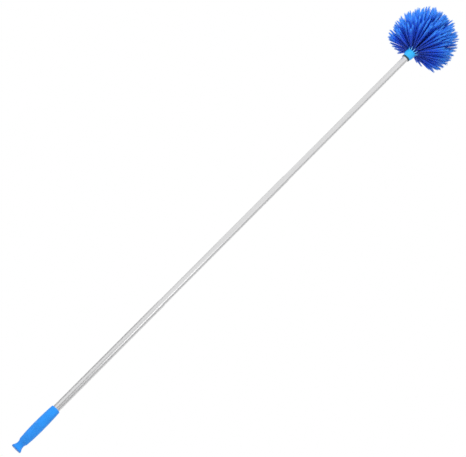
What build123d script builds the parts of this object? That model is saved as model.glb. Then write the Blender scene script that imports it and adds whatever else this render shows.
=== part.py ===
from build123d import *
from math import cos, radians, sin, sqrt
import os

# A telescopic duster: a blue grip, three steel tubes that slide into each other, a twist
# lock inside each joint, and a round brush head that screws onto the top of the pole.
# Millimetres. The pole's axis is Z, the grip's end face lies on Z = 0, the head is on top.
# The pole is drawn at its full length with both locks tight.

os.makedirs("parts", exist_ok=True)

# Pole tubes, each one sliding inside the one below it
outer_diameter = 22.0
tube_wall = 0.5
tube_clearance = 0.4
outer_length = 540.5
middle_length = 581.5
inner_length = 580.0
middle_overlap = 70.0
inner_overlap = 70.0
guide_clearance = 0.1
lip_height = 2.4
bead_depth = 0.25
bead_width = 1.8
bead_gap = 0.3

# Grip
grip_length = 155.0
grip_diameter = 31.8
belly_height = 96.0
grip_top_diameter = 28.0
grip_edge_round = 2.0
flare_diameter = 31.0
flare_rim = 4.4
rim_chamfer = 1.0
neck_diameter = 20.6
neck_height = 19.0
shoulder_diameter = 27.6
shoulder_height = 33.0
tube_seat_height = 34.0
rib_height = 0.35
rib_count = 15
rib_first_share = 0.2
rib_last_share = 0.9

# Twist lock: a plug in the moving tube's end carries a screw, which draws a cone into a slotted sleeve
screw_diameter = 6.0
screw_head_diameter = 9.0
screw_head_height = 2.4
screw_grip = 16.0
thread_clearance = 0.08
plug_length = 26.0
plug_chamfer = 1.0
flange_height = 2.0
flange_clearance = 0.1
sleeve_height = 24.0
sleeve_clearance = 0.05
sleeve_collar = 5.0
sleeve_wall = 2.3
sleeve_taper = 3.0
sleeve_play = 0.1
slot_width = 2.4
slot_count = 4
cone_height = 13.0
cone_inset = 1.0
cone_clearance = 0.06
key_clearance = 0.3
key_height = 6.0
key_inset = 0.7
lock_pitch = 1.25
lock_turns = 1.5
washer_diameter = 13.0
washer_height = 1.4
washer_gap = 0.3

# Threaded tip of the pole and the rubber ring between it and the head
tip_flange_height = 2.0
tip_plug_length = 25.0
stud_diameter = 16.0
stud_length = 23.0
stud_chamfer = 1.2
ring_diameter = 24.0
ring_height = 4.5
ring_round = 1.5
ring_clearance = 0.3

# Socket of the head, with the pointed teeth that stand between the lowest tufts
socket_height = 22.5
mouth_diameter = 25.0
socket_diameter = 29.6
socket_rim_diameter = 28.0
socket_chamfer = 1.0
swell_share = 0.6
socket_clearance = 0.1
socket_roof = 3.0
spindle_diameter = 7.0
tooth_height = 9.0
tooth_flare = 9.0
tooth_width = 3.8
tooth_point = 1.0
tooth_thickness = 1.5
tooth_root = 1.5

# Bristles: tufts stand in rings on a domed core that is stacked from slices
slice_height = 7.5
core_diameter = 22.4
crown_height = 6.0
strand_root = 0.85
strand_belly = 1.9
strand_tip = 0.45
strand_root_depth = 1.2
tuft_width = 1.6
tuft_places = ((0, 0), (-1, -1), (1, -1), (1, 1), (-1, 1))
head_radius = 97.0
head_centre_height = 74.0
core_radius_shares = (1.0, 1.0, 0.95, 0.86, 0.74, 0.6)
crown_radius_share = 0.45
ring_tufts = (13, 14, 13, 12, 10, 8)
ring_shift_shares = (0.25, 0, 0.5, 0, 0.5, 0)
ring_fans = (7.0, 5.0, 4.0, 3.5, 3.5, 3.5)
ring_lean_shares = (1.0, 0.865, 0.72, 0.575, 0.43, 0.29)
crown_strands = 25
crown_lean_share = 0.2
crown_seat_share = 0.8
lean_mean = 84.0
lean_side = 15.5
lean_oval = 5.5
lean_turn = 10.0
lean_lift = 20.0
tuft_rise_fan = 3.1
tuft_stray = 2.0
stray_lean_share = 0.25
stray_turn_share = 0.6
fan_turn_share = 0.5
wobble_turn = 137.5
ragged_share = 0.05
belly_share = 0.72

# Radii and heights that follow from the sizes above
outer_radius = outer_diameter / 2
outer_bore = outer_radius - tube_wall
middle_radius = outer_bore - tube_clearance
middle_bore = middle_radius - tube_wall
inner_radius = middle_bore - tube_clearance
inner_bore = inner_radius - tube_wall
screw_radius = screw_diameter / 2
stud_radius = stud_diameter / 2
core_radius = core_diameter / 2
lock_travel = lock_pitch * lock_turns

outer_top = tube_seat_height + outer_length
middle_base = outer_top - middle_overlap
middle_top = middle_base + middle_length
inner_base = middle_top - inner_overlap
inner_top = inner_base + inner_length
ring_base = inner_top + tip_flange_height
socket_base = ring_base + ring_height
socket_top = socket_base + socket_height
head_centre = socket_base + head_centre_height


def turned(points):
    """Solid of revolution about the pole's axis from a closed outline of (radius, height) points."""
    corners = [(radius, 0, height) for radius, height in points]
    return revolve(make_face(Polyline(*corners, close=True)), Axis.Z)


def pipe(outside, inside, low, high):
    """Plain ring or tube between two heights."""
    return turned([(inside, low), (outside, low), (outside, high), (inside, high)])


def rolled_tube(outside, low, high, carried, stop):
    """Tube with a rolled-in mouth that guides the tube it carries, and a rolled bead that stops it."""
    lip = outside - (carried + guide_clearance + tube_wall)
    bead_low = stop + bead_gap
    bead_mid = bead_low + bead_width / 2
    bead_high = bead_low + bead_width
    wall = [
        (0, low),
        (0, bead_low),
        (bead_depth, bead_mid),
        (0, bead_high),
        (0, high - lip_height),
        (lip, high - lip_height / 2),
        (lip, high),
    ]
    skin = [(outside - inset, height) for inset, height in wall]
    bore = [(radius - tube_wall, height) for radius, height in skin]
    return turned(skin + bore[::-1])


# Grip


def ribbed(curve):
    """The stretch of the grip's outline that has low ribs, as arcs between points of the smooth curve."""
    step = (rib_last_share - rib_first_share) / rib_count
    shares = [rib_first_share + step * i for i in range(rib_count + 1)]
    edges = [curve.trim(0, rib_first_share), curve.trim(rib_last_share, 1)]
    for start, end in zip(shares, shares[1:]):
        middle = (start + end) / 2
        crest = curve @ middle + Vector(rib_height, 0, 0)
        edges.append(ThreePointArc(curve @ start, crest, curve @ end))
    return edges


def grip():
    """Blue grip: a flared end, a narrow neck, a long swell with ribs, and a round top edge round the tube."""
    flare = flare_diameter / 2
    neck = neck_diameter / 2
    shoulder = shoulder_diameter / 2
    belly = grip_diameter / 2
    top = grip_top_diameter / 2
    flare_bend = (flare_rim + neck_height) / 2
    shoulder_bend = (neck_height + shoulder_height) / 2
    lower_bend = (shoulder_height + belly_height) / 2
    edge = grip_length - grip_edge_round
    upper_bend = (belly_height + edge) / 2
    round_centre = Vector(top - grip_edge_round, 0, edge)
    round_middle = round_centre + Vector(1, 0, 1).normalized() * grip_edge_round
    swell = Bezier((shoulder, 0, shoulder_height), (belly, 0, lower_bend), (belly, 0, belly_height))
    outline = [
        Polyline(
            (outer_radius, 0, grip_length),
            (outer_radius, 0, tube_seat_height),
            (0, 0, tube_seat_height),
            (0, 0, 0),
            (flare - rim_chamfer, 0, 0),
            (flare, 0, rim_chamfer),
            (flare, 0, flare_rim),
        ),
        Bezier((flare, 0, flare_rim), (neck, 0, flare_bend), (neck, 0, neck_height)),
        Bezier(
            (neck, 0, neck_height),
            (neck, 0, shoulder_bend),
            (shoulder, 0, shoulder_bend),
            (shoulder, 0, shoulder_height),
        ),
        *ribbed(swell),
        Bezier((belly, 0, belly_height), (belly, 0, upper_bend), (top, 0, edge)),
        ThreePointArc((top, 0, edge), round_middle, (top - grip_edge_round, 0, grip_length)),
        Line((top - grip_edge_round, 0, grip_length), (outer_radius, 0, grip_length)),
    ]
    return revolve(make_face(outline), Axis.Z)


# Twist locks


def lock_plug(tube_bore, bore, end):
    """Plug pressed into the moving tube's lower end, with a flange that guides it and meets the stop bead."""
    flange = bore - flange_clearance
    top = end + plug_length
    hole_top = end + screw_grip
    return turned(
        [
            (screw_radius, end - flange_height),
            (flange, end - flange_height),
            (flange, end),
            (tube_bore, end),
            (tube_bore, top - plug_chamfer),
            (tube_bore - plug_chamfer, top),
            (0, top),
            (0, hole_top),
            (screw_radius, hole_top),
        ]
    )


def lock_heights(end):
    """Heights inside a lock: the sleeve's top and foot, the washer's top and foot."""
    sleeve_top = end - flange_height - sleeve_play
    sleeve_foot = sleeve_top - sleeve_height
    washer_top = sleeve_foot + cone_inset - lock_travel - washer_gap
    return sleeve_top, sleeve_foot, washer_top, washer_top - washer_height


def lock_screw(end):
    """Screw that holds the lock together: its head under the washer, its shank fast in the plug."""
    washer_foot = lock_heights(end)[3]
    head_foot = washer_foot - screw_head_height
    return turned(
        [
            (0, head_foot),
            (screw_head_diameter / 2, head_foot),
            (screw_head_diameter / 2, washer_foot),
            (screw_radius, washer_foot),
            (screw_radius, end + screw_grip),
            (0, end + screw_grip),
        ]
    )


def lock_washer(end):
    """Washer on the screw's head, where the cone stops when the lock is fully open."""
    washer_top, washer_foot = lock_heights(end)[2:]
    return pipe(washer_diameter / 2, screw_radius, washer_foot, washer_top)


def slots(outside, low, high, width):
    """The four radial bars that cut a sleeve's slots, or that stand on a cone as its keys."""
    length = outside * 2
    bar = Pos(0, 0, (low + high) / 2) * Box(length, width, high - low)
    return [Rot(0, 0, 360 * turn / slot_count) * bar for turn in range(slot_count // 2)]


def lock_sleeve(bore, end):
    """Slotted sleeve that the cone spreads against the outer tube's bore."""
    top, foot = lock_heights(end)[:2]
    outside = bore - sleeve_clearance
    mouth = outside - sleeve_wall
    hole = screw_radius + thread_clearance
    shell = turned(
        [
            (hole, top),
            (outside, top),
            (outside, foot),
            (mouth, foot),
            (mouth - sleeve_taper, top - sleeve_collar),
            (hole, top - sleeve_collar),
        ]
    )
    cuts = slots(outside + sleeve_wall, foot - sleeve_wall, top - sleeve_collar, slot_width)
    return shell - cuts


def lock_cone(bore, end):
    """Cone nut on the screw, with keys in the sleeve's slots so that it slides and doesn't turn."""
    top, foot = lock_heights(end)[:2]
    outside = bore - sleeve_clearance
    slope = sleeve_taper / (sleeve_height - sleeve_collar)
    base = foot + cone_inset
    wide = outside - sleeve_wall - slope * cone_inset - cone_clearance
    narrow = wide - slope * cone_height
    hole = screw_radius + thread_clearance
    body = turned([(hole, base), (wide, base), (narrow, base + cone_height), (hole, base + cone_height)])
    bars = slots(outside - key_inset, base, base + key_height, slot_width - key_clearance * 2)
    reach = pipe(outside - key_inset, screw_radius + sleeve_wall / 2, base, base + key_height)
    keys = [bar & reach for bar in bars]
    return body + keys


# Threaded tip, ring and socket


def threaded_tip():
    """Plug in the top tube with a stud for the head. Its thread is drawn as a plain cylinder."""
    low = inner_top - tip_plug_length
    high = ring_base + stud_length
    return turned(
        [
            (0, low),
            (inner_bore - plug_chamfer, low),
            (inner_bore, low + plug_chamfer),
            (inner_bore, inner_top),
            (inner_radius, inner_top),
            (inner_radius, ring_base),
            (stud_radius, ring_base),
            (stud_radius, high - stud_chamfer),
            (stud_radius - stud_chamfer, high),
            (0, high),
        ]
    )


def socket_ring():
    """Dark rubber ring between the tip's flange and the socket's mouth."""
    ring = pipe(ring_diameter / 2, stud_radius + ring_clearance, ring_base, socket_base)
    outer_edges = ring.edges().filter_by(GeomType.CIRCLE).group_by(SortBy.RADIUS)[-1]
    return fillet(outer_edges, ring_round)


def tooth():
    """One pointed tooth on the socket's top edge, flared outward under the lowest tufts."""
    middle = socket_rim_diameter / 2 - socket_chamfer - tooth_thickness / 2
    foot = Plane((middle, 0, socket_top - tooth_root))
    tip = Plane((middle + tooth_flare, 0, socket_top + tooth_height))
    root = foot * Rectangle(tooth_thickness, tooth_width)
    point = tip * Rectangle(tooth_thickness / 2, tooth_point)
    return loft([root, point], ruled=True)


def head_socket():
    """Light blue socket of the head: a round cup for the tip's stud, its teeth, and the core's spindle."""
    mouth = mouth_diameter / 2
    rim = socket_rim_diameter / 2
    bore = stud_radius + socket_clearance
    bore_top = socket_top - socket_roof
    spindle = spindle_diameter / 2
    spindle_top = socket_top + slice_height * len(ring_tufts)
    low = (mouth, 0, socket_base + socket_chamfer)
    high = (rim, 0, socket_top - socket_chamfer)
    swell = (socket_diameter / 2, 0, socket_base + socket_height * swell_share)
    rest = Polyline(
        high,
        (rim - socket_chamfer, 0, socket_top),
        (spindle, 0, socket_top),
        (spindle, 0, spindle_top),
        (0, 0, spindle_top),
        (0, 0, bore_top),
        (bore, 0, bore_top),
        (bore, 0, socket_base),
        (mouth - socket_chamfer, 0, socket_base),
        low,
    )
    cup = revolve(make_face([ThreePointArc(low, swell, high), rest]), Axis.Z)
    one = tooth()
    count = ring_tufts[0]
    first = ring_shift_shares[0] + 0.5
    teeth = [Rot(0, 0, 360 * (first + number) / count) * one for number in range(count)]
    return cup + teeth


# Bristles


def wobble(number):
    """A steady share from -1 to 1 that makes neighbouring strands differ."""
    return sin(radians(number * wobble_turn))


def lowest_lean(turn):
    """Angle of the lowest tufts from the axis. The head is brushed to one side and up at the front."""
    place = turn + radians(lean_turn)
    front = (1 - sin(turn)) / 2
    return lean_mean - lean_side * cos(place) + lean_oval * cos(place * 2) - lean_lift * front * front


def strand(root, lean, turn, reach):
    """One strand from the core's surface to the ball of the tips, thickest near its tip."""
    way = Vector(sin(lean) * cos(turn), sin(lean) * sin(turn), cos(lean))
    offset = root - Vector(0, 0, head_centre)
    along = way.dot(offset)
    length = sqrt(along * along - offset.dot(offset) + reach * reach) - along
    sections = [(-strand_root_depth, strand_root), (length * belly_share, strand_belly), (length, strand_tip)]
    faces = [Plane(root + way * place, z_dir=way) * Rectangle(side, side) for place, side in sections]
    return loft(faces, ruled=True)


def tuft(number, level, height, turn):
    """Five strands from one hole, fanned out from each other. Each tuft strays a little from its place."""
    strands = []
    across = tuft_width / 2
    radius = core_radius * core_radius_shares[level]
    middle_lean = lowest_lean(turn) * ring_lean_shares[level] + tuft_stray * wobble(number + stray_lean_share)
    stray_turn = tuft_stray * wobble(number + stray_turn_share)
    for count, (side, rise) in enumerate(tuft_places):
        unit = number * len(tuft_places) + count
        place = turn + side * across / radius
        root = Vector(radius * cos(place), radius * sin(place), height + rise * across)
        lean = radians(middle_lean - rise * tuft_rise_fan + wobble(unit))
        fan = radians(stray_turn + side * ring_fans[level] + wobble(unit + fan_turn_share)) / sin(lean)
        reach = head_radius * (1 + ragged_share * wobble(number) + ragged_share * wobble(unit) / 2)
        strands.append(strand(root, lean, turn + fan, reach))
    return strands


def bristle_ring(level):
    """One ring of tufts fused to its slice of the core."""
    count = ring_tufts[level]
    radius = core_radius * core_radius_shares[level]
    low = socket_top + slice_height * level
    core = pipe(radius, spindle_diameter / 2, low, low + slice_height)
    first = sum(ring_tufts[:level])
    strands = []
    for number in range(count):
        turn = radians(360 * (number + ring_shift_shares[level]) / count)
        strands += tuft(first + number, level, low + slice_height / 2, turn)
    return core.fuse(*strands)


def bristle_crown():
    """The strands at the very top, spread evenly over the core's round cap and fused to it."""
    radius = core_radius * crown_radius_share
    low = socket_top + slice_height * len(ring_tufts)
    high = low + crown_height
    core = turned([(0, low), (radius, low), (radius, low + crown_height / 2), (radius / 2, high), (0, high)])
    first = sum(ring_tufts) * len(tuft_places)
    strands = []
    for number in range(crown_strands):
        turn = radians(number * wobble_turn)
        share = sqrt((number + 0.5) / crown_strands)
        seat = Vector(cos(turn), sin(turn), 0) * (radius * crown_seat_share * share)
        lean = radians(lowest_lean(turn) * crown_lean_share * share)
        reach = head_radius * (1 + ragged_share * wobble(first + number))
        strands.append(strand(seat + Vector(0, 0, high - crown_height / 4), lean, turn, reach))
    return core.fuse(*strands)


# The whole duster

pieces = {
    "grip": grip(),
    "outer_tube": rolled_tube(outer_radius, tube_seat_height, outer_top, middle_radius, middle_base),
    "middle_tube": rolled_tube(middle_radius, middle_base, middle_top, inner_radius, inner_base),
    "inner_tube": pipe(inner_radius, inner_bore, inner_base, inner_top),
    "threaded_tip": threaded_tip(),
    "socket_ring": socket_ring(),
    "head_socket": head_socket(),
    "bristle_crown": bristle_crown(),
}
for place, tube_bore, bore, end in (
    ("lower", middle_bore, outer_bore, middle_base),
    ("upper", inner_bore, middle_bore, inner_base),
):
    pieces[place + "_lock_plug"] = lock_plug(tube_bore, bore, end)
    pieces[place + "_lock_screw"] = lock_screw(end)
    pieces[place + "_lock_washer"] = lock_washer(end)
    pieces[place + "_lock_sleeve"] = lock_sleeve(bore, end)
    pieces[place + "_lock_cone"] = lock_cone(bore, end)
for level in range(len(ring_tufts)):
    pieces["bristle_ring_" + str(level + 1)] = bristle_ring(level)

for name, shape in pieces.items():
    export_step(shape, "parts/" + name + ".step")
    size = shape.bounding_box().size
    print(f"{name:20s} {size.X:8.2f} {size.Y:8.2f} {size.Z:8.2f}")

lock_foot = lock_heights(0)[3] - screw_head_height
print("lower travel", middle_base + lock_foot - tube_seat_height)
print("upper travel", inner_base + lock_foot - middle_base - plug_length)
print("lock travel", lock_travel, "head lift", stud_length - ring_height, "length", head_centre + head_radius)
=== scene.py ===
# %% [markdown]
# # A telescopic duster
# The duster is a long steel pole with a moulded grip at one end and a ball of blue bristles at the other.
# The pole is three tubes, one inside the next. Precise parts like tubes and screws come from the CAD
# model, which this script loads and never moves. The bristles are soft, so they are modelled here,
# filament by filament.

# %% Load the CAD model
import math
import random

import bpy
from mathutils import Matrix, Vector


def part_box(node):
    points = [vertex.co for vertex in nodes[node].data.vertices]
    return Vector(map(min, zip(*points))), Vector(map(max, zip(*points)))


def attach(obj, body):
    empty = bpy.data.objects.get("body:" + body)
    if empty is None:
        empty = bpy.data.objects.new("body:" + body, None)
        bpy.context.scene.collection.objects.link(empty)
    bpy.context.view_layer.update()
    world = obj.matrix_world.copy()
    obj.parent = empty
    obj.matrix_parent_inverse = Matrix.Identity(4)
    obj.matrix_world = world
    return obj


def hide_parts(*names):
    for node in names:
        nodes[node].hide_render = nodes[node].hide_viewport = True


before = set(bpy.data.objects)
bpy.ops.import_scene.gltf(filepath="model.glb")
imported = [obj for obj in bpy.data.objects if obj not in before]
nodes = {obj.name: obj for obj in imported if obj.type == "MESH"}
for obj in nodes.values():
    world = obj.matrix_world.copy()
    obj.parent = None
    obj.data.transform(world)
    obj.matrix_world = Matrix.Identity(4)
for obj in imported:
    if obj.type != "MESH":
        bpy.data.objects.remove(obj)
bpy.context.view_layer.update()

# %% [markdown]

# %% [markdown]
# ## Materials
# Every finish starts from the same shader. The helpers below add it, and add a noise that reads Object
# coordinates. All objects sit at the origin, so a noise that is squeezed across the pole and not along it
# gives long, fine streaks.

# %% Helpers for materials


def new_finish(name, colour, roughness, metallic=0.0):
    """Makes a material and returns it with its nodes, its links and its shader."""
    finish = bpy.data.materials.new(name)
    finish.use_nodes = True
    tree = finish.node_tree
    shader = tree.nodes["Principled BSDF"]
    shader.inputs["Base Color"].default_value = (*colour, 1)
    shader.inputs["Roughness"].default_value = roughness
    shader.inputs["Metallic"].default_value = metallic
    return finish, tree.nodes, tree.links, shader


def add_noise(shelf, links, scale, detail=2.0, squeeze=(1, 1, 1)):
    """Adds a noise on Object coordinates and returns its node."""
    place = shelf.new("ShaderNodeTexCoord")
    mapping = shelf.new("ShaderNodeMapping")
    mapping.inputs["Scale"].default_value = squeeze
    noise = shelf.new("ShaderNodeTexNoise")
    noise.inputs["Scale"].default_value = scale
    noise.inputs["Detail"].default_value = detail
    links.new(place.outputs["Object"], mapping.inputs["Vector"])
    links.new(mapping.outputs["Vector"], noise.inputs["Vector"])
    return noise


def add_range(shelf, links, source, low, high):
    """Turns a value from 0 to 1 into one between low and high."""
    spread = shelf.new("ShaderNodeMapRange")
    spread.inputs["To Min"].default_value = low
    spread.inputs["To Max"].default_value = high
    links.new(source, spread.inputs["Value"])
    return spread.outputs["Result"]


def add_ramp(shelf, links, source, stops):
    """Colours a value with a ramp of (place, colour) stops."""
    ramp = shelf.new("ShaderNodeValToRGB")
    ends = ramp.color_ramp.elements
    while len(ends) < len(stops):
        ends.new(0.5)
    for end, (place, colour) in zip(ends, stops):
        end.position = place
        end.color = (*colour, 1)
    links.new(source, ramp.inputs["Fac"])
    return ramp.outputs["Color"]


CLOUD_STOPS = (0.3, 0.7)


def add_cloud(shelf, links, shader, source, colour, shares):
    """Lets a noise tint a colour between two shares of it, with no channel over 1."""
    tints = [tuple(min(channel * share, 1) for channel in colour) for share in shares]
    ramp = add_ramp(shelf, links, source, list(zip(CLOUD_STOPS, tints)))
    links.new(ramp, shader.inputs["Base Color"])


def add_bump(shelf, links, shader, source, strength, distance):
    """Lets a value raise and lower the surface a little."""
    bump = shelf.new("ShaderNodeBump")
    bump.inputs["Strength"].default_value = strength
    bump.inputs["Distance"].default_value = distance
    links.new(source, bump.inputs["Height"])
    links.new(bump.outputs["Normal"], shader.inputs["Normal"])


def dress(finish, *names):
    """Gives CAD nodes a finish through their own material slots."""
    for name in names:
        for place in nodes[name].material_slots:
            place.material = finish
    print(finish.name, "on", ", ".join(names))


# %% [markdown]
# The tubes are thin steel, rolled, welded and plated. The plating is bright but not a mirror, and the
# rolls leave fine streaks along the tube. A noise squeezed hard across the pole makes those streaks in
# colour and in roughness.

# %% Steel of the tubes
STEEL = (0.73, 0.73, 0.735)
STEEL_SHARES = (0.9, 1.06)
STEEL_ROUGH_SHARES = (0.8, 1.3)
STREAK_SQUEEZE = (900, 900, 5)
STREAK_BUMP = 0.05
STREAK_DEPTH = 0.0001
MOTTLE_SCALE = 40.0
MOTTLE_SQUEEZE = (1, 1, 0.3)
TUBE_ROUGHNESS = 0.28


def steel_finish(name, roughness):
    finish, shelf, links, shader = new_finish(name, STEEL, roughness, metallic=1.0)
    streaks = add_noise(shelf, links, 1.0, detail=3.0, squeeze=STREAK_SQUEEZE)
    mottle = add_noise(shelf, links, MOTTLE_SCALE, detail=4.0, squeeze=MOTTLE_SQUEEZE)
    add_cloud(shelf, links, shader, streaks.outputs["Fac"], STEEL, STEEL_SHARES)
    low, high = (roughness * share for share in STEEL_ROUGH_SHARES)
    links.new(add_range(shelf, links, mottle.outputs["Fac"], low, high), shader.inputs["Roughness"])
    add_bump(shelf, links, shader, streaks.outputs["Fac"], STREAK_BUMP, STREAK_DEPTH)
    return finish


dress(steel_finish("steel_bright", TUBE_ROUGHNESS), "outer_tube", "middle_tube", "inner_tube")

# %% [markdown]
# The grip is one moulding of tough blue plastic. Such plastic has a satin skin with a very fine grain,
# and its colour is almost even, a little deeper and paler in soft clouds.

# %% Blue plastic of the grip
GRIP_BLUE = (0.009, 0.27, 0.86)
GRIP_ROUGHNESS = 0.42
PLASTIC_SHARES = (0.86, 1.1)
PLASTIC_ROUGH_SHARES = (0.85, 1.15)
CLOUD_SCALE = 35.0
GRAIN_SCALE = 900.0
GRAIN_BUMP = 0.25
GRAIN_DEPTH = 0.00008


def plastic_finish(name, colour, roughness, grain=GRAIN_SCALE):
    finish, shelf, links, shader = new_finish(name, colour, roughness)
    cloud = add_noise(shelf, links, CLOUD_SCALE, detail=3.0)
    add_cloud(shelf, links, shader, cloud.outputs["Fac"], colour, PLASTIC_SHARES)
    low, high = (roughness * share for share in PLASTIC_ROUGH_SHARES)
    links.new(add_range(shelf, links, cloud.outputs["Fac"], low, high), shader.inputs["Roughness"])
    skin = add_noise(shelf, links, grain)
    add_bump(shelf, links, shader, skin.outputs["Fac"], GRAIN_BUMP, GRAIN_DEPTH)
    return finish


dress(plastic_finish("grip_blue", GRIP_BLUE, GRIP_ROUGHNESS), "grip")

# %% [markdown]
# The head's socket is a lighter, glossier blue. The ring under it is dark soft rubber. The pole's tip and
# the pieces of the two locks are hidden while the duster is in one piece, but they get real finishes too:
# they show when the part is taken apart.

# %% Socket, ring, tip and locks
SOCKET_BLUE = (0.024, 0.43, 0.97)
# The teeth's paler blue is painted light.
TEETH_PAINTED_LIGHT_BLUE = (0.2, 0.53, 1.0)
SOCKET_HEIGHT = 0.0225
SOCKET_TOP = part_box("head_socket")[0].z + SOCKET_HEIGHT
TEETH_SINK = 0.001
TEETH_FOOT = SOCKET_TOP - TEETH_SINK
TEETH_LIGHT_FADE = 0.006
SOCKET_ROUGHNESS = 0.3
RUBBER_TEAL = (0.022, 0.062, 0.08)
RUBBER_ROUGHNESS = 0.6
RUBBER_GRAIN = 1500.0
TIP_GREY = (0.62, 0.62, 0.62)
TIP_ROUGHNESS = 0.45
LOCK_WHITE = (0.75, 0.75, 0.72)
LOCK_WHITE_ROUGHNESS = 0.4
LOCK_BLACK = (0.03, 0.03, 0.032)
LOCK_BLACK_ROUGHNESS = 0.45
SCREW_ROUGHNESS = 0.4


def socket_finish():
    """The socket's blue, with painted light on the thin teeth: they are painted paler from their foot up.
    """
    finish = plastic_finish("socket_blue", SOCKET_BLUE, SOCKET_ROUGHNESS)
    shelf = finish.node_tree.nodes
    links = finish.node_tree.links
    shader = shelf["Principled BSDF"]
    place = shelf.new("ShaderNodeTexCoord")
    split = shelf.new("ShaderNodeSeparateXYZ")
    height = shelf.new("ShaderNodeMapRange")
    height.inputs["From Min"].default_value = TEETH_FOOT
    height.inputs["From Max"].default_value = TEETH_FOOT + TEETH_LIGHT_FADE
    teeth_light_mix = shelf.new("ShaderNodeMixRGB")
    teeth_light_mix.inputs["Color2"].default_value = (*TEETH_PAINTED_LIGHT_BLUE, 1)
    links.new(place.outputs["Object"], split.inputs["Vector"])
    links.new(split.outputs["Z"], height.inputs["Value"])
    links.new(height.outputs["Result"], teeth_light_mix.inputs["Fac"])
    links.new(shader.inputs["Base Color"].links[0].from_socket, teeth_light_mix.inputs["Color1"])
    links.new(teeth_light_mix.outputs["Color"], shader.inputs["Base Color"])
    return finish


dress(socket_finish(), "head_socket")
dress(plastic_finish("rubber_teal", RUBBER_TEAL, RUBBER_ROUGHNESS, RUBBER_GRAIN), "socket_ring")
dress(plastic_finish("tip_grey", TIP_GREY, TIP_ROUGHNESS), "threaded_tip")
lock_white = plastic_finish("lock_white", LOCK_WHITE, LOCK_WHITE_ROUGHNESS)
lock_black = plastic_finish("lock_black", LOCK_BLACK, LOCK_BLACK_ROUGHNESS)
screw_steel = steel_finish("screw_steel", SCREW_ROUGHNESS)
for lock in ("lower_lock", "upper_lock"):
    dress(lock_white, lock + "_sleeve")
    dress(lock_black, lock + "_plug", lock + "_cone")
    dress(screw_steel, lock + "_screw", lock + "_washer")

# %% [markdown]
# A bristle is a clear blue plastic filament. Its colour carries painted shade at the root, where it
# stands among others, and painted light towards its split tip. Two values are stored on the mesh for
# this: how far along the filament a point lies, and a tone of its own for each filament, so that
# neighbours differ.

# %% Blue of the bristles
# The ramp paints shade at the root and light at the upper part and the tip.
BRISTLE_ROOT_PAINTED_SHADE = (0.0065, 0.04, 0.42)
BRISTLE_MIDDLE = (0.014, 0.095, 0.83)
BRISTLE_UPPER_PAINTED_LIGHT = (0.018, 0.142, 0.95)
BRISTLE_TIP_PAINTED_LIGHT = (0.055, 0.335, 1.0)
BRISTLE_SHADE_STOPS = (
    (0.08, BRISTLE_ROOT_PAINTED_SHADE), (0.5, BRISTLE_MIDDLE), (0.7, BRISTLE_UPPER_PAINTED_LIGHT), (1.0, BRISTLE_TIP_PAINTED_LIGHT)
)
BRISTLE_ROUGHNESS = 0.34
TONE_ROUGHNESS = (0.25, 0.45)
TONE_VALUES = (0.7, 1.4)
RIPPLE_SCALE = 300.0
RIPPLE_BUMP = 0.15
RIPPLE_DEPTH = 0.0001


def bristle_finish():
    finish, shelf, links, shader = new_finish("bristle_blue", BRISTLE_MIDDLE, BRISTLE_ROUGHNESS)
    along = shelf.new("ShaderNodeAttribute")
    along.attribute_name = "along"
    tone = shelf.new("ShaderNodeAttribute")
    tone.attribute_name = "tone"
    colour = add_ramp(shelf, links, along.outputs["Fac"], BRISTLE_SHADE_STOPS)
    value = add_range(shelf, links, tone.outputs["Fac"], *TONE_VALUES)
    rough = add_range(shelf, links, tone.outputs["Fac"], *TONE_ROUGHNESS)
    vary = shelf.new("ShaderNodeHueSaturation")
    links.new(colour, vary.inputs["Color"])
    links.new(value, vary.inputs["Value"])
    links.new(vary.outputs["Color"], shader.inputs["Base Color"])
    links.new(rough, shader.inputs["Roughness"])
    ripple = add_noise(shelf, links, RIPPLE_SCALE)
    add_bump(shelf, links, shader, ripple.outputs["Fac"], RIPPLE_BUMP, RIPPLE_DEPTH)
    return finish


bristle_blue = bristle_finish()
print("bristles:", bristle_blue.name)

# %% [markdown]
# ## Bristles
# A real head holds many thousands of filaments, set in tufts. One filament is modelled: a three-
# sided tube is cut across, and each cut is made wider or narrower and pushed sideways, so that it leaves
# its tuft and bows out. Only the three long edges are picked for the cuts, and in edge mode, because
# picked faces would turn into a fine grid. Six filaments, each with a bow of its own, make the tufts
# lively.

# %% Model one filament
FILAMENT_LENGTH = 0.09
FILAMENT_RADIUS = 0.00034
BOW = 0.0009
CUTS = 4
FILAMENT_KINDS = 6
LEAST_BOW_SHARE = 0.4
SEED = 11
WIDTHS = (0.9, 1.0, 1.1, 1.15, 1.1, 0.7)
BOW_SHARES = (0.0, 0.34, 0.66, 0.92, 1.0, 0.72)
chance = random.Random(SEED)


def pick(thing, test):
    """Leaves only those vertices of an object selected that pass a test on their place."""
    for vertex in thing.data.vertices:
        vertex.select = test(vertex.co)
    for edge in thing.data.edges:
        edge.select = all(thing.data.vertices[corner].select for corner in edge.vertices)
    for face in thing.data.polygons:
        face.select = all(thing.data.vertices[corner].select for corner in face.vertices)


def store(thing, name, values):
    """Stores one value for each vertex."""
    layer = thing.data.attributes.new(name, "FLOAT", "POINT")
    layer.data.foreach_set("value", values)


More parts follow.
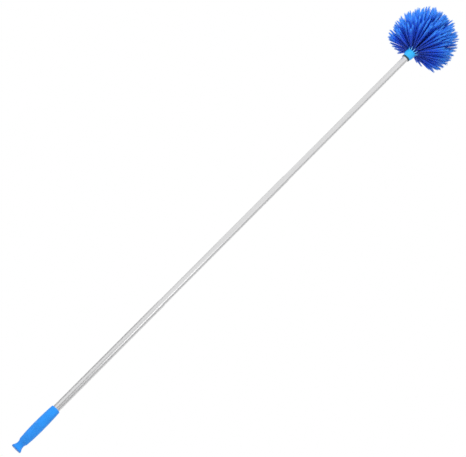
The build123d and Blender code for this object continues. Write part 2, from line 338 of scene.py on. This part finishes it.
def model_filament(name, bow):
    bpy.ops.object.select_all(action="DESELECT")
    bpy.ops.mesh.primitive_cylinder_add(
        vertices=3, radius=FILAMENT_RADIUS, depth=FILAMENT_LENGTH, location=(0, 0, FILAMENT_LENGTH / 2)
    )
    thread = bpy.context.object
    thread.name = name
    bpy.ops.object.transform_apply(location=True)
    bpy.context.tool_settings.mesh_select_mode = (False, True, False)
    pick(thread, lambda co: False)
    for edge in thread.data.edges:
        low, high = (thread.data.vertices[corner].co.z for corner in edge.vertices)
        edge.select = abs(high - low) > FILAMENT_LENGTH / 2
    bpy.ops.object.mode_set(mode="EDIT")
    bpy.ops.mesh.subdivide(number_cuts=CUTS)
    bpy.ops.object.mode_set(mode="OBJECT")
    bpy.context.tool_settings.mesh_select_mode = (True, False, False)
    for step, (width, share) in enumerate(zip(WIDTHS, BOW_SHARES)):
        height = FILAMENT_LENGTH * step / (CUTS + 1)
        pick(thread, lambda co: abs(co.z - height) < FILAMENT_LENGTH / 100)
        bpy.ops.object.mode_set(mode="EDIT")
        bpy.ops.transform.resize(value=(width, width, 1), center_override=(0, 0, height))
        bpy.ops.transform.translate(value=(bow * share, 0, 0))
        bpy.ops.object.mode_set(mode="OBJECT")
    store(thread, "along", [vertex.co.z / FILAMENT_LENGTH for vertex in thread.data.vertices])
    return thread


bows = [BOW * (step + LEAST_BOW_SHARE) / FILAMENT_KINDS for step in range(FILAMENT_KINDS)]
filaments = [model_filament("filament", bow) for bow in bows]
print("filament:", len(filaments[0].data.vertices), "points")

# %% [markdown]
# Static and wear make neighbouring filaments cling, so a tuft is seen as a few bundles with pointed tips
# and gaps between them. A bundle is copies of the filaments, turned all ways round its own axis. Four
# kinds of bundle are variety enough, because each copy of a bundle is turned and stretched again.

# %% Gather filaments into bundles
BUNDLE_KINDS = 4
BUNDLE_FILAMENTS = 40
BUNDLE_ROOT = 0.0012
LEAN = math.radians(0.95)
LENGTH_SHARES = (0.9, 1.03)
TONE_MEAN = 0.4
TONE_SPREAD = 0.2


def copy_of(source, matrix):
    """Copies an object with its own mesh and puts the copy's place in that mesh."""
    twin = source.copy()
    twin.data = source.data.copy()
    twin.data.transform(matrix)
    bpy.context.scene.collection.objects.link(twin)
    return twin


def join(pieces, name):
    """Joins pieces into the first one."""
    bpy.ops.object.select_all(action="DESELECT")
    for piece in pieces:
        piece.select_set(True)
    bpy.context.view_layer.objects.active = pieces[0]
    bpy.ops.object.join()
    pieces[0].name = name
    return pieces[0]


def model_bundle(name):
    threads = []
    for _ in range(BUNDLE_FILAMENTS):
        around = Matrix.Rotation(chance.uniform(0, math.tau), 4, "Z")
        root = Matrix.Translation((BUNDLE_ROOT * math.sqrt(chance.random()), 0, 0))
        lean = Matrix.Rotation(chance.gauss(0, LEAN), 4, "X")
        length = Matrix.Scale(chance.uniform(*LENGTH_SHARES), 4, (0, 0, 1))
        thread = copy_of(chance.choice(filaments), around @ root @ lean @ length)
        tone = min(max(chance.gauss(TONE_MEAN, TONE_SPREAD), 0), 1)
        store(thread, "tone", [tone] * len(thread.data.vertices))
        threads.append(thread)
    return join(threads, name)


bundles = [model_bundle("bundle") for _ in range(BUNDLE_KINDS)]
for thread in filaments:
    bpy.data.objects.remove(thread)
print("bundle:", len(bundles[0].data.polygons), "faces")

# %% [markdown]
# The tufts stand in rings on a domed core, as the CAD model has them. The lowest ring spreads flat, leans
# a little further down on one side and stands up at the front. Each ring above it stands steeper, so that
# the tips together make a ball. These values repeat those of the CAD model. Sizes are in metres, and
# leans, fans and strays are in degrees.

# %% Where the tufts stand
SLICE = 0.0075
CORE_RADIUS = 0.0112
HEAD_RADIUS = 0.097
HEAD_RISE = 0.0515
HEAD_CENTRE = (0, 0, SOCKET_TOP + HEAD_RISE)
CORE_SHARES = (1.0, 1.0, 0.95, 0.86, 0.74, 0.6)
TUFTS = (13, 14, 13, 12, 10, 8)
SHIFTS = (0.25, 0, 0.5, 0, 0.5, 0)
LEAN_SHARES = (1.0, 0.865, 0.72, 0.575, 0.43, 0.29)
LEAN_MEAN = 84.0
LEAN_SIDE = 15.5
LEAN_OVAL = 5.5
LEAN_TURN = 10.0
LEAN_LIFT = 20.0
FANS = (7.0, 5.0, 4.0, 3.5, 3.5, 3.5)
RISE_FAN = 3.1
STRAY = 2.0
STRAY_SHARES = (0.25, 0.6)
TUFT_WIDTH = 0.0016
CROWN_FOOT = SOCKET_TOP + SLICE * len(TUFTS)
CROWN_HEIGHT = 0.006
CROWN_SHARE = 0.45
CROWN_ROOT_SHARE = 0.75
CROWN_BUNDLES = 25
CROWN_SEAT_SHARE = 0.8
CROWN_LEAN_SHARE = 0.2
CORNERS = ((0, 0), (-1, -1), (1, -1), (1, 1), (-1, 1))
SINK = 0.0012
RAGGED = 0.05
WOBBLE_TURN = 137.5


def wobble(number):
    """A steady share from -1 to 1 that makes neighbours differ."""
    return math.sin(math.radians(number * WOBBLE_TURN))


def lowest_lean(turn):
    """Angle of the lowest tufts from the axis, in degrees, as the head is brushed."""
    place = turn + math.radians(LEAN_TURN)
    front = (1 - math.sin(turn)) / 2
    lean = LEAN_MEAN - LEAN_SIDE * math.cos(place) + LEAN_OVAL * math.cos(place * 2)
    return lean - LEAN_LIFT * front * front


def reach_of(root, way, reach):
    """Length from a root to the ball of the tips."""
    offset = root - Vector(HEAD_CENTRE)
    along = way.dot(offset)
    return math.sqrt(along * along - offset.dot(offset) + reach * reach) - along


def grow(root, lean, turn, reach):
    """One bundle, from its root on the core to the ball of the tips."""
    way = Vector((math.sin(lean) * math.cos(turn), math.sin(lean) * math.sin(turn), math.cos(lean)))
    length = reach_of(root, way, reach) + SINK
    aim = Vector((0, 0, 1)).rotation_difference(way).to_matrix().to_4x4()
    twist = Matrix.Rotation(chance.uniform(0, math.tau), 4, "Z")
    stretch = Matrix.Scale(length / FILAMENT_LENGTH, 4, (0, 0, 1))
    return copy_of(chance.choice(bundles), Matrix.Translation(root - way * SINK) @ aim @ twist @ stretch)


def ring_bundles(level):
    grown = []
    radius = CORE_RADIUS * CORE_SHARES[level]
    height = SOCKET_TOP + SLICE * (level + 0.5)
    for number in range(TUFTS[level]):
        turn = math.tau * (number + SHIFTS[level]) / TUFTS[level]
        tuft = sum(TUFTS[:level]) + number
        middle_lean = lowest_lean(turn) * LEAN_SHARES[level] + STRAY * wobble(tuft + STRAY_SHARES[0])
        stray_turn = STRAY * wobble(tuft + STRAY_SHARES[1])
        for count, (side, rise) in enumerate(CORNERS):
            unit = tuft * len(CORNERS) + count
            place = turn + side * TUFT_WIDTH / 2 / radius
            high = height + rise * TUFT_WIDTH / 2
            root = Vector((radius * math.cos(place), radius * math.sin(place), high))
            lean = math.radians(middle_lean - rise * RISE_FAN + wobble(unit))
            fan = math.radians(stray_turn + side * FANS[level] + wobble(unit + 0.5)) / math.sin(lean)
            reach = HEAD_RADIUS * (1 + RAGGED * wobble(tuft) + RAGGED * wobble(unit) / 2)
            grown.append(grow(root, lean, turn + fan, reach))
    return grown


def crown_bundles():
    grown = []
    height = CROWN_FOOT + CROWN_HEIGHT * CROWN_ROOT_SHARE
    for number in range(CROWN_BUNDLES):
        turn = math.radians(number * WOBBLE_TURN)
        share = math.sqrt((number + 0.5) / CROWN_BUNDLES)
        seat = CORE_RADIUS * CROWN_SHARE * CROWN_SEAT_SHARE * share
        root = Vector((seat * math.cos(turn), seat * math.sin(turn), height))
        lean = math.radians(lowest_lean(turn) * CROWN_LEAN_SHARE * share)
        reach = HEAD_RADIUS * (1 + RAGGED * wobble(sum(TUFTS) * len(CORNERS) + number))
        grown.append(grow(root, lean, turn, reach))
    return grown


# %% [markdown]
# Each ring of tufts has its slice of the core under it. The slice is a plain cylinder with rounded rims,
# and the crown's slice is narrowed at its top into a low dome. Slice and tufts become one piece that
# stands for the CAD node.

# %% Model the core's slices
RIM_ROUND_SHARE = 0.08
CROWN_DOME_SHARE = 0.6
CORE_SHADE_TONE = 0.2


def model_slice(radius, low, height, dome):
    """A slice of the core, with its top narrowed to a share of its foot."""
    bpy.ops.object.select_all(action="DESELECT")
    bpy.ops.mesh.primitive_cylinder_add(
        vertices=40, radius=radius, depth=height, location=(0, 0, low + height / 2)
    )
    core = bpy.context.object
    bpy.ops.object.transform_apply(location=True)
    pick(core, lambda co: co.z > low + height / 2)
    bpy.ops.object.mode_set(mode="EDIT")
    bpy.ops.transform.resize(value=(dome, dome, 1), center_override=(0, 0, low + height))
    bpy.ops.mesh.bevel(offset=height * RIM_ROUND_SHARE, segments=2, affect="EDGES")
    bpy.ops.object.mode_set(mode="OBJECT")
    # An along of 0 and a low tone give the core the painted shade of the bristle roots.
    store(core, "along", [0.0] * len(core.data.vertices))
    store(core, "tone", [CORE_SHADE_TONE] * len(core.data.vertices))
    return core


def finish_bristles(core, grown, node):
    ring = join([core, *grown], "filaments_" + node)
    ring.data.materials.clear()
    ring.data.materials.append(bristle_blue)
    bpy.ops.object.select_all(action="DESELECT")
    ring.select_set(True)
    bpy.context.view_layer.objects.active = ring
    bpy.ops.object.shade_smooth()
    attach(ring, "head")
    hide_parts(node)
    print(ring.name, len(ring.data.polygons), "faces")


for level, share in enumerate(CORE_SHARES):
    core = model_slice(CORE_RADIUS * share, SOCKET_TOP + SLICE * level, SLICE, 1.0)
    finish_bristles(core, ring_bundles(level), "bristle_ring_" + str(level + 1))
crown = model_slice(CORE_RADIUS * CROWN_SHARE, CROWN_FOOT, CROWN_HEIGHT, CROWN_DOME_SHARE)
finish_bristles(crown, crown_bundles(), "bristle_crown")
for bundle in bundles:
    bpy.data.objects.remove(bundle)

# %% [markdown]
# ## Stage
# The duster stands on a pale floor. The photograph looks at it from below the grip, so its camera is
# under the floor. The floor's material is clear from its back side: from above it is a plain floor that
# keeps the shadow, and from below it isn't there.

# %% Floor
FLOOR_SIZE = 6.0
FLOOR_LEVEL = 0.0003
FLOOR_COLOUR = (0.8, 0.8, 0.8)
FLOOR_ROUGHNESS = 0.9


def floor_finish():
    finish, shelf, links, shader = new_finish("floor_pale", FLOOR_COLOUR, FLOOR_ROUGHNESS)
    facing = shelf.new("ShaderNodeNewGeometry")
    clear = shelf.new("ShaderNodeBsdfTransparent")
    choose = shelf.new("ShaderNodeMixShader")
    links.new(facing.outputs["Backfacing"], choose.inputs["Fac"])
    links.new(shader.outputs["BSDF"], choose.inputs[1])
    links.new(clear.outputs["BSDF"], choose.inputs[2])
    links.new(choose.outputs["Shader"], shelf["Material Output"].inputs["Surface"])
    return finish


bpy.ops.object.select_all(action="DESELECT")
bpy.ops.mesh.primitive_plane_add(size=FLOOR_SIZE, location=(0, 0, FLOOR_LEVEL))
floor = bpy.context.object
floor.name = "floor"
floor.data.materials.append(floor_finish())

# %% [markdown]
# Light is soft and plain: an even white world does half of the work, and three large lamps do the rest. A
# fourth, small lamp only draws a bright line on the tube. What the camera and reflections see of the
# world is white, as a paper background is.

# %% World
WHITE = (1, 1, 1, 1)
WORLD_STRENGTH = 0.55
PAPER_STRENGTH = 1.0


def white_world():
    world = bpy.data.worlds.new("white_room")
    bpy.context.scene.world = world
    world.use_nodes = True
    shelf = world.node_tree.nodes
    links = world.node_tree.links
    soft = shelf["Background"]
    soft.inputs["Color"].default_value = WHITE
    soft.inputs["Strength"].default_value = WORLD_STRENGTH
    paper = shelf.new("ShaderNodeBackground")
    paper.inputs["Color"].default_value = WHITE
    paper.inputs["Strength"].default_value = PAPER_STRENGTH
    path = shelf.new("ShaderNodeLightPath")
    first = shelf.new("ShaderNodeMath")
    second = shelf.new("ShaderNodeMath")
    first.operation = second.operation = "MAXIMUM"
    links.new(path.outputs["Is Camera Ray"], first.inputs[0])
    links.new(path.outputs["Is Glossy Ray"], first.inputs[1])
    links.new(first.outputs["Value"], second.inputs[0])
    links.new(path.outputs["Is Transmission Ray"], second.inputs[1])
    choose = shelf.new("ShaderNodeMixShader")
    links.new(second.outputs["Value"], choose.inputs["Fac"])
    links.new(soft.outputs["Background"], choose.inputs[1])
    links.new(paper.outputs["Background"], choose.inputs[2])
    links.new(choose.outputs["Shader"], shelf["World Output"].inputs["Surface"])


white_world()
bpy.context.scene.view_settings.view_transform = "Standard"

# %% Lamps
POLE_MIDDLE = (0, 0, 0.9)
# name, place, power in watts, width, height, seen in reflections
LAMPS = (
    ("key", (-1.6, -2.6, 2.4), 78, 1.6, 1.6, False),
    ("side", (3.4, -0.7, 1.8), 26, 0.8, 1.4, False),
    ("back", (-0.8, 2.6, 2.2), 30, 1.6, 1.6, False),
    ("strip", (0.58, -1.05, 0.81), 0.62, 0.24, 0.5, True),
)


def add_lamp(name, place, power, width, height, mirrored):
    lamp_data = bpy.data.lights.new(name, "AREA")
    lamp_data.shape = "RECTANGLE"
    lamp_data.size = width
    lamp_data.size_y = height
    lamp_data.energy = power
    lamp = bpy.data.objects.new(name, lamp_data)
    lamp.location = place
    lamp.visible_camera = False
    lamp.visible_glossy = mirrored
    lamp.rotation_euler = (Vector(POLE_MIDDLE) - Vector(place)).to_track_quat("-Z", "Y").to_euler()
    bpy.context.scene.collection.objects.link(lamp)
    print(name, power, "watts")


for lamp in LAMPS:
    add_lamp(*lamp)

# %% [markdown]
# Polished tubes look flat under white light from all around. A few grey boards stand round the pole and
# show only in reflections. The ones on the right and left draw the dark lines near the tube's edges, the
# two behind draw its soft edges, and the low and middle ones darken the tube near the grip. Each board
# stands between two bearings, counted from the front, and between two heights.

# %% Grey boards
BOARD_DISTANCE = 1.2
# name, first and last bearing in degrees, low and high edge, grey
BOARDS = (
    ("board_low", 10, 50, -2.5, 0.47, 0.7),
    ("board_middle", -9, 9, -2.5, 0.66, 0.38),
    ("board_left", -122, -84, -0.6, 0.8, 0.55),
    ("board_right", 52, 98, -0.6, 2.4, 0.55),
    ("board_back_right", 135, 176, -0.6, 2.4, 0.75),
    ("board_back_left", -176, -118, -0.6, 2.4, 0.75),
)


def at_bearing(degrees):
    """Level direction at a bearing that is counted from the front."""
    return Vector((math.sin(math.radians(degrees)), -math.cos(math.radians(degrees)), 0))


def add_board(name, first, last, low, high, grey):
    near = at_bearing(first) * BOARD_DISTANCE
    far = at_bearing(last) * BOARD_DISTANCE
    centre = (near + far) / 2 + Vector((0, 0, (low + high) / 2))
    turn = math.atan2(far.y - near.y, far.x - near.x)
    bpy.ops.object.select_all(action="DESELECT")
    bpy.ops.mesh.primitive_plane_add(size=1, location=centre, rotation=(math.pi / 2, 0, turn))
    board = bpy.context.object
    board.name = name
    board.scale = ((far - near).length, high - low, 1)
    board.data.materials.append(new_finish(name + "_grey", (grey, grey, grey), 1.0)[0])
    board.visible_camera = False
    board.visible_diffuse = False
    board.visible_shadow = False
    board.visible_transmission = False


for board in BOARDS:
    add_board(*board)

# %% [markdown]
# The camera stands six metres away, below the grip, and looks up along the pole, so the grip looks a
# little larger than it would from the side and the head leans away. It is rolled so that the pole runs
# from the lower left to the upper right.

# %% Camera
PHOTO_WIDTH = 466
FOCAL_PIXELS = 2129
SENSOR = 36.0
DISTANCE = 6.0
TILT = math.radians(15)
ROLL = math.radians(44.94)
AIM_HEIGHT = 0.865
AIM_LIFT = 0.0065
AIM_SIDE = -0.0013

forward = Vector((0, math.cos(TILT), math.sin(TILT)))
along_pole = Vector((0, -math.sin(TILT), math.cos(TILT)))
across = Vector((1, 0, 0))
right = along_pole * math.sin(ROLL) + across * math.cos(ROLL)
up = along_pole * math.cos(ROLL) - across * math.sin(ROLL)
eye = Vector((AIM_SIDE, 0, AIM_HEIGHT)) - forward * DISTANCE + up * AIM_LIFT

camera_data = bpy.data.cameras.new("camera")
camera_data.sensor_width = SENSOR
camera_data.lens = SENSOR * FOCAL_PIXELS / PHOTO_WIDTH
camera = bpy.data.objects.new("camera", camera_data)
camera.matrix_world = Matrix.Translation(eye) @ Matrix((right, up, -forward)).transposed().to_4x4()
bpy.context.scene.collection.objects.link(camera)
bpy.context.scene.camera = camera
print("camera at", [round(value, 3) for value in eye])
